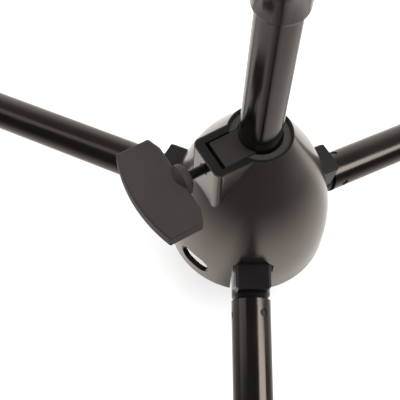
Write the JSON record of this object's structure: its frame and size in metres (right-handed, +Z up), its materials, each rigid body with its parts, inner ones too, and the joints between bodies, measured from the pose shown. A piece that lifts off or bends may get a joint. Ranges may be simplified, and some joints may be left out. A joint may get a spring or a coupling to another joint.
{
  "type": "trumpet stand",
  "caption": "Low folding tripod stand with a bell-shaped hub, a clamped sliding pole and a tapered velour-covered peg that holds an upright trumpet.",
  "frame": {"origin": "on the floor under the pole axis", "axes": "+Z up along the pole, -Y towards the front leg, +X to the right"},
  "size_m": [0.3606, 0.3144, 0.3607],
  "materials": {
    "shell_metal": "satin gunmetal",
    "tube_metal": "gloss black",
    "black_plastic": "fine matte",
    "base_gloss": "high gloss",
    "grey_plastic": "fine matte",
    "knob_plastic": "fine grain matte",
    "nylon": "smooth matte",
    "dark_steel": "black zinc",
    "steel": "zinc",
    "brass": "turned",
    "foot_rubber": "matte",
    "velour": "short pile"
  },
  "bodies": {
    "hub": {"hub_shell": "shell_metal", "leg_carrier": "black_plastic", "carrier_screws": "steel", "pole_bushing": "nylon", "clamp_insert": "brass", "leg_pin_1": "steel", "leg_pin_2": "steel", "leg_pin_3": "steel"},
    "clamp_pad": {"pressure_pad": "nylon"},
    "knob": {"clamp_knob": "knob_plastic", "clamp_screw": "dark_steel"},
    "pole": {"pole_tube": "tube_metal", "pole_end_cap": "black_plastic"},
    "peg": {"peg_base": "base_gloss", "peg_set_screw": "dark_steel", "peg_core": "grey_plastic", "peg_screws": "steel", "peg_cover": "velour"},
    "leg_1": {"leg_tube_1": "tube_metal", "leg_knuckle_1": "black_plastic", "leg_rivets_1": "dark_steel", "leg_foot_1": "foot_rubber"},
    "leg_2": {"leg_tube_2": "tube_metal", "leg_knuckle_2": "black_plastic", "leg_rivets_2": "dark_steel", "leg_foot_2": "foot_rubber"},
    "leg_3": {"leg_tube_3": "tube_metal", "leg_knuckle_3": "black_plastic", "leg_rivets_3": "dark_steel", "leg_foot_3": "foot_rubber"}
  },
  "joints": [
    {"name": "pad_slide", "type": "slide", "parent": "hub", "child": "clamp_pad", "axis": [-0.866, -0.5, 0], "range_m": [0, 0.00105]},
    {"name": "knob_turn", "type": "hinge", "parent": "clamp_pad", "child": "knob", "pos_m": [-0.02598, -0.015, 0.10185], "axis": [-0.866, -0.5, 0], "range_deg": [0, 541]},
    {"name": "pole_slide", "type": "slide", "parent": "hub", "child": "pole", "axis": [0, 0, 1], "range_m": [-0.01, 0.045]},
    {"name": "peg_swivel", "type": "hinge", "parent": "pole", "child": "peg", "pos_m": [0, 0, 0.19], "axis": [0, 0, 1], "continuous": true},
    {"name": "leg_1_fold", "type": "hinge", "parent": "hub", "child": "leg_1", "pos_m": [0, -0.022, 0.04694], "axis": [1, 0, 0], "range_deg": [0, 77.8]},
    {"name": "leg_2_fold", "type": "hinge", "parent": "hub", "child": "leg_2", "pos_m": [0.01905, 0.011, 0.04694], "axis": [-0.5, 0.866, 0], "range_deg": [0, 77.8]},
    {"name": "leg_3_fold", "type": "hinge", "parent": "hub", "child": "leg_3", "pos_m": [-0.01905, 0.011, 0.04694], "axis": [-0.5, -0.866, 0], "range_deg": [0, 77.8]}
  ],
  "couplings": [
    {"joint": "knob_turn", "follows": "pad_slide", "rad_per_m": 8976}
  ]
}
